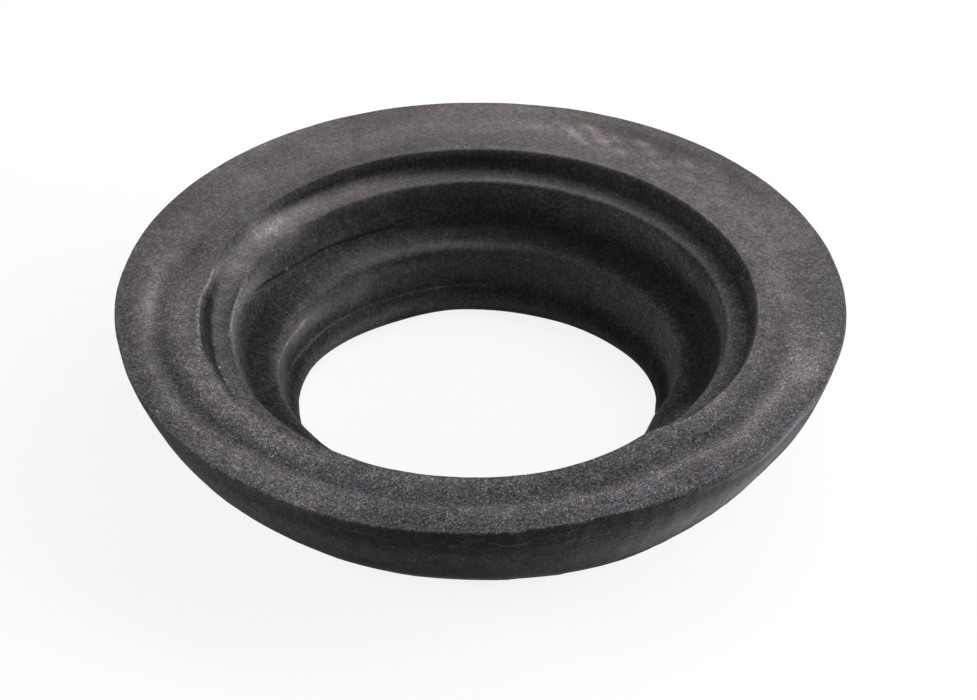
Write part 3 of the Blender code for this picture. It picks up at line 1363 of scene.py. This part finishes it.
@dataclass
class GasketRing:
    """The whole gasket: the ring with its groove, seams, dents, marks, bloom and painted light.

    The headroom is how far its highest point stays under the solid's top.
    """

    name: str = "gasket_ring_surface"
    section: RingSection = field(default_factory=RingSection)
    groove: SealGroove = field(default_factory=SealGroove)
    seams: tuple[Seam, ...] = (
        # A real fold in the step wall; its gain also paints the shade that falls in it.
        Seam(
            "fold",
            (
                (108.0, 4.69),
                (125.0, 4.72),
                (134.0, 4.84),
                (143.0, 4.88),
                (147.0, 4.97),
                (152.0, 5.11),
                (158.0, 5.28),
                (165.0, 5.44),
            ),
            width=0.30,
            height_of=-0.22,
            reach=0.42,
            gain=0.42,
        ),
        Seam(
            "flash",
            ((84.0, 0.93), (155.0, 0.93), (165.0, 1.02), (178.0, 1.20)),
            width=0.22,
            height_of=0.12,
            reach=0.20,
            gain=1.75,
        ),
        # A painted highlight along the upper lip, where the light catches its edge.
        Seam(
            "painted_highlight_upper_lip",
            (
                (155.0, 5.98),
                (164.0, 5.95),
                (172.0, 5.88),
                (180.0, 5.86),
                (187.0, 6.10),
                (191.0, 6.30),
            ),
            reach=0.55,
            gain=2.1,
            fade=9.0,
        ),
        # A painted highlight along the lower lip at the top of the throat.
        Seam(
            "painted_highlight_throat",
            (
                (148.0, 1.75),
                (156.4, 1.66),
                (164.8, 1.78),
                (172.7, 1.90),
                (180.6, 2.04),
                (191.0, 2.33),
            ),
            reach=0.50,
            gain=1.7,
        ),
        # A painted highlight along the recess's top edge.
        Seam(
            "painted_highlight_recess_edge",
            ((163.0, 9.90), (171.6, 10.67), (177.2, 11.0), (198.0, 11.0)),
            reach=0.40,
            gain=1.7,
        ),
        Seam(
            "near_wrinkle_1",
            ((264.0, 14.10), (268.3, 14.09), (269.6, 14.04), (272.0, 14.03)),
            width=0.30,
            height_of=0.09,
            reach=0.36,
            gain=1.95,
            fade=1.5,
        ),
        Seam(
            "near_wrinkle_2",
            ((270.2, 14.07), (272.2, 14.06), (273.8, 14.10), (279.5, 14.09)),
            width=0.30,
            height_of=0.09,
            reach=0.36,
            gain=1.90,
            fade=1.5,
        ),
        Seam(
            "near_wrinkle_3",
            ((276.6, 14.07), (279.6, 14.06), (285.0, 14.04), (292.0, 14.06)),
            width=0.30,
            height_of=0.08,
            reach=0.36,
            gain=1.60,
            fade=2.5,
        ),
        Seam(
            "near_wrinkle_4",
            ((279.0, 14.11), (281.2, 14.16), (286.0, 14.13), (293.0, 14.15)),
            width=0.35,
            height_of=0.08,
            reach=0.42,
            gain=1.40,
            fade=2.5,
        ),
        Seam(
            "left_wrinkle",
            ((240.0, 14.05), (246.0, 14.09), (252.0, 14.06), (259.0, 14.12)),
            width=0.35,
            height_of=0.08,
            reach=0.42,
            gain=1.55,
            fade=3.0,
        ),
        Seam(
            "back_crease",
            ((56.0, 5.62), (66.0, 5.70), (78.0, 5.66)),
            width=0.20,
            height_of=-0.05,
        ),
    )
    marks: tuple[Mark, ...] = (
        Mark(146.2, 5.00, 3.9, 0.42, 0.38),
        Mark(173.2, 3.57, 0.20, 0.80, 0.20, 90.0),
        Mark(175.5, 4.62, 0.40, 0.42, 0.18, 90.0),
        Mark(185.1, 4.38, 0.35, 0.66, 0.18, 90.0),
        Mark(187.9, 4.00, 0.45, 0.38, 0.20, 70.0),
        Mark(163.7, 3.57, 0.50, 0.30, 0.26),
        Mark(159.8, 4.50, 0.50, 0.28, 0.24),
        Mark(209.2, 11.93, 3.8, 0.34, 0.30),
        Mark(196.3, 8.40, 3.0, 0.34, 0.30),
        Mark(287.4, 13.00, 3.4),
        Mark(275.6, 11.25, 2.9),
        Mark(230.6, 11.39, 2.8, 0.30, 0.28),
        Mark(194.6, 11.04, 2.3, 0.62, 0.30),
        Mark(172.1, 9.60, 2.6),
        Mark(180.6, 8.80, 2.5),
        Mark(200.8, 8.40, 2.3, 0.5, 0.3, 60.0),
        Mark(312.8, 11.50, 2.4),
        Mark(334.1, 3.86, 2.2),
        Mark(191.8, 3.14, 2.3),
        Mark(352.7, 11.75, 2.2),
        Mark(165.9, 1.81, 2.0, 0.6, 0.35),
        Mark(209.8, 11.75, 2.0),
        Mark(196.9, 11.39, 2.0),
        Mark(257.6, 11.86, 2.0, 0.55, 0.3, 70.0),
        Mark(144.0, 3.71, 2.0, 0.5, 0.3),
        Mark(313.3, 11.36, 0.30, 0.42, 0.36),
        Mark(316.7, 11.32, 0.45, 0.55, 0.3),
        Mark(293.6, 11.36, 0.5, 0.5, 0.3),
    )
    dents: tuple[Dent, ...] = (Dent(340.0, Span.FLANGE + 0.25, 0.7, 0.7, -0.25),)
    unevenness: tuple[Unevenness, ...] = (
        Unevenness(26.0, 0.06, 11),
        Unevenness(7.0, 0.030, 12),
        Unevenness(2.6, 0.012, 13),
    )
    bloom_and_shade: BloomAndShade = field(default_factory=BloomAndShade)
    finish: SpongeRubber = SpongeRubber()
    slot: str = "sponge_rubber"
    headroom: float = 0.01

    def shaped(self) -> Surface:
        """The true section with all its relief, kept within the solid's box."""
        true = self.section.surface()
        relief = np.zeros_like(true.radius)
        for part in (*self.seams, *self.dents, *self.unevenness):
            relief = relief + part.height(true)
        moved = true.pushed(relief)
        height = np.minimum(moved.height, self.section.top_height - self.headroom)
        on_flange = (true.place >= Span.FLANGE) & (true.place < Span.RIM)
        height = np.where(on_flange, height + self.groove.height(true), height)
        height = np.where(true.place >= Span.BASE, 0.0, np.maximum(height, 0.0))
        turn = np.radians(true.angle)
        reach = self.section.rim_radius / np.maximum(np.abs(np.cos(turn)), np.abs(np.sin(turn)))
        radius = np.minimum(moved.radius, reach)
        return Surface(true.angle, true.place, radius, height)

    def build(self) -> bpy.types.Object:
        """Make the closed mesh and its attributes.

        Each cell of the grid is a quad, and the last row and column join the first.

        Returns:
            The ring's object, at the origin.
        """
        surface = self.shaped()
        rows, columns = surface.radius.shape
        index = np.arange(rows * columns).reshape(rows, columns)
        around = np.roll(index, -1, axis=0)
        quads = np.stack([index, np.roll(index, -1, 1), np.roll(around, -1, 1), around], -1)
        mesh = bpy.data.meshes.new(self.name)
        mesh.vertices.add(rows * columns)
        mesh.vertices.foreach_set("co", (surface.points * MM).astype(np.float32).ravel())
        mesh.loops.add(quads.size)
        mesh.loops.foreach_set("vertex_index", quads.astype(np.int32).ravel())
        mesh.polygons.add(rows * columns)
        mesh.polygons.foreach_set("loop_start", np.arange(0, quads.size, 4, dtype=np.int32))
        mesh.update(calc_edges=True)
        mesh.validate()
        mesh.shade_smooth()
        values = {
            "bloom_and_shade": self.bloom_and_shade.level(surface),
            "skin": self.bloom_and_shade.roughness(surface),
        }
        for name, value in values.items():
            layer = mesh.attributes.new(name, "FLOAT", "POINT")
            layer.data.foreach_set("value", value.astype(np.float32).ravel())
        for seam in self.seams:
            if seam.gain != 1.0:
                layer = mesh.attributes.new(seam.name, "FLOAT_VECTOR", "POINT")
                layer.data.foreach_set("vector", seam.offset(surface).astype(np.float32).ravel())
        ring = bpy.data.objects.new(self.name, mesh)
        bpy.context.scene.collection.objects.link(ring)
        return ring

    def dress(self, ring: bpy.types.Object) -> None:
        """Give the ring its finish and its place in the frame.

        Args:
            ring: the ring's object.
        """
        ring.data.materials.append(self.finish.material(self.shaped(), self.seams, self.marks))
        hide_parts("gasket_ring")
        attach(ring, "root")


@dataclass
class WhiteSweep:
    """The white floor that the gasket stands on, which shows white and keeps a faint shadow.

    The lift makes up for the lamps, which light the open floor a little below white.
    """

    half_width: float = 2.0
    pale: str = "#ececec"
    shadow_share: float = 0.14
    lift: float = 1.15

    def build(self) -> bpy.types.Object:
        """Make the floor: a flat grid of two by two cells, its height zero everywhere.

        Returns:
            The floor.
        """
        places = np.linspace(-self.half_width, self.half_width, 3)
        across, along = np.meshgrid(places, places)
        points = np.stack([across, along, np.zeros_like(across)], -1)
        first = np.array([0, 1, 3, 4])
        faces = np.stack([first, first + 1, first + 4, first + 3], -1)
        mesh = bpy.data.meshes.new("white_sweep")
        mesh.from_pydata(points.reshape(-1, 3).tolist(), [], faces.tolist())
        floor = bpy.data.objects.new("white_sweep", mesh)
        bpy.context.scene.collection.objects.link(floor)
        return floor

    def dress(self, floor: bpy.types.Object) -> None:
        """Give the floor its matt white.

        What is seen straight or in a reflection is white light of its own plus a small share of
        the light that falls on it, so the shadow stays faint. Other light meets plain matt white.

        Args:
            floor: the floor's object.
        """
        made = bpy.data.materials.new("matt_white_card")
        made.use_nodes = True
        sheet = NodeSheet(made.node_tree)
        seen = shown_rays(sheet)
        pale = sheet.add("BsdfDiffuse", {"Color": linear(self.pale)})
        light = {"Color": (1.0, 1.0, 1.0, 1.0), "Strength": 1.0 - self.shadow_share}
        glow = sheet.add("Emission", light)
        share = self.shadow_share * self.lift
        lit = sheet.add("BsdfDiffuse", {"Color": (share, share, share, 1.0)})
        white = sheet.add("AddShader", {0: glow, 1: lit})
        both = sheet.add("MixShader", {0: seen, 1: pale, 2: white})
        sheet.add("OutputMaterial", {"Surface": both})
        floor.data.materials.append(made)


def shown_rays(sheet: NodeSheet) -> Socket:
    """One for rays that show the background: straight, mirrored or through glass.

    Args:
        sheet: the node tree that asks.

    Returns:
        A socket that is one for those rays and else zero.
    """
    seen = sheet.add("LightPath", out="Is Camera Ray")
    path = seen.node
    for kind in ("Is Glossy Ray", "Is Transmission Ray"):
        seen = sheet.add("Math", {0: seen, 1: path.outputs[kind]}, operation="MAXIMUM")
    return seen


@dataclass(frozen=True)
class Softbox:
    """A soft flat lamp: where it stands, what it aims at, its size in metres and its watts."""

    name: str
    place: tuple[float, float, float]
    aim: tuple[float, float, float]
    width: float
    height: float
    power: float

    def build(self) -> None:
        """Set the lamp up with its face towards its aim."""
        lamp = bpy.data.lights.new(self.name, "AREA")
        lamp.shape = "RECTANGLE"
        lamp.size = self.width
        lamp.size_y = self.height
        lamp.energy = self.power
        stand = bpy.data.objects.new(self.name, lamp)
        stand.location = self.place
        way = Vector(self.aim) - Vector(self.place)
        stand.rotation_euler = way.to_track_quat("-Z", "Y").to_euler()
        bpy.context.scene.collection.objects.link(stand)


@dataclass
class Studio:
    """The soft white light of a product table: five broad lamps in a white room.

    One hangs above and behind, one stands at each side, and one high at the right and one high in
    front fill in.
    """

    lamps: tuple[Softbox, ...] = (
        Softbox("top_box", (0.12, 0.20, 0.34), (0.0, 0.0, 0.02), 0.26, 0.26, 0.56),
        Softbox("right_box", (0.55, 0.0, 0.14), (0.0, 0.0, 0.01), 0.30, 0.20, 2.90),
        Softbox("left_box", (-0.55, 0.0, 0.14), (0.0, 0.0, 0.01), 0.30, 0.20, 2.05),
        Softbox("high_box", (0.40, 0.0, 0.40), (0.0, 0.0, 0.01), 0.30, 0.30, 1.00),
        Softbox("front_box", (0.0, -0.40, 0.45), (0.0, 0.0, 0.01), 0.30, 0.30, 0.42),
    )
    ambient: float = 0.08

    def build(self) -> None:
        """Set up the lamps, the world's even light and the plain view settings."""
        for lamp in self.lamps:
            lamp.build()
        world = bpy.data.worlds.new("white_room")
        world.use_nodes = True
        sheet = NodeSheet(world.node_tree)
        seen = shown_rays(sheet)
        even = sheet.add("Background", {"Color": (1.0, 1.0, 1.0, 1.0), "Strength": self.ambient})
        white = sheet.add("Background", {"Color": (1.0, 1.0, 1.0, 1.0), "Strength": 1.0})
        both = sheet.add("MixShader", {0: seen, 1: even, 2: white})
        sheet.add("OutputWorld", {"Surface": both})
        bpy.context.scene.world = world
        bpy.context.scene.view_settings.view_transform = "Standard"


@dataclass
class ProductCamera:
    """The photograph's view: a long lens, from in front and above.

    The distance and the two offsets are in metres. The offsets slide the camera along its own
    axes, and the view looks past the ring's top centre by them.
    """

    distance: float = 0.7695
    elevation: float = 36.65
    roll: float = 0.25
    slide_right: float = 0.0012602
    slide_up: float = -0.0069566
    target_height: float = 0.0235
    sensor: float = 36.0
    pixels_per_radius: float = 366.3
    ring_radius: float = 0.057

    def build(self) -> None:
        """Make the camera and make it the scene's own.

        Its focal length shows the ring's radius, at the ring's distance, as that many pixels.
        """
        tilt = np.radians(self.elevation)
        back = Vector((0.0, -float(np.cos(tilt)), float(np.sin(tilt))))
        right = Vector((1.0, 0.0, 0.0))
        over = back.cross(right)
        turn = np.radians(self.roll)
        side = right * float(np.cos(turn)) + over * float(np.sin(turn))
        top = over * float(np.cos(turn)) - right * float(np.sin(turn))
        eye = back * self.distance + side * self.slide_right + top * self.slide_up
        eye = eye + Vector((0.0, 0.0, self.target_height))
        lens = bpy.data.cameras.new("product_camera")
        lens.sensor_width = self.sensor
        focal = self.pixels_per_radius * self.distance / self.ring_radius
        lens.lens = focal / IMAGE_WIDTH * self.sensor
        lens.clip_start = 0.01
        camera = bpy.data.objects.new("product_camera", lens)
        turned = Matrix((side, top, back)).transposed().to_4x4()
        camera.matrix_world = Matrix.Translation(eye) @ turned
        bpy.context.scene.collection.objects.link(camera)
        bpy.context.scene.camera = camera


def main() -> None:
    """Build the camera, the light, the floor and the gasket, in that order."""
    logging.basicConfig(level=logging.INFO, format="%(name)s: %(message)s")
    ProductCamera().build()
    Studio().build()
    sweep = WhiteSweep()
    sweep.dress(sweep.build())
    gasket = GasketRing()
    ring = gasket.build()
    gasket.dress(ring)
    LOG.info("%s: %d faces, replaces gasket_ring", ring.name, len(ring.data.polygons))


if __name__ == "__main__":
    main()
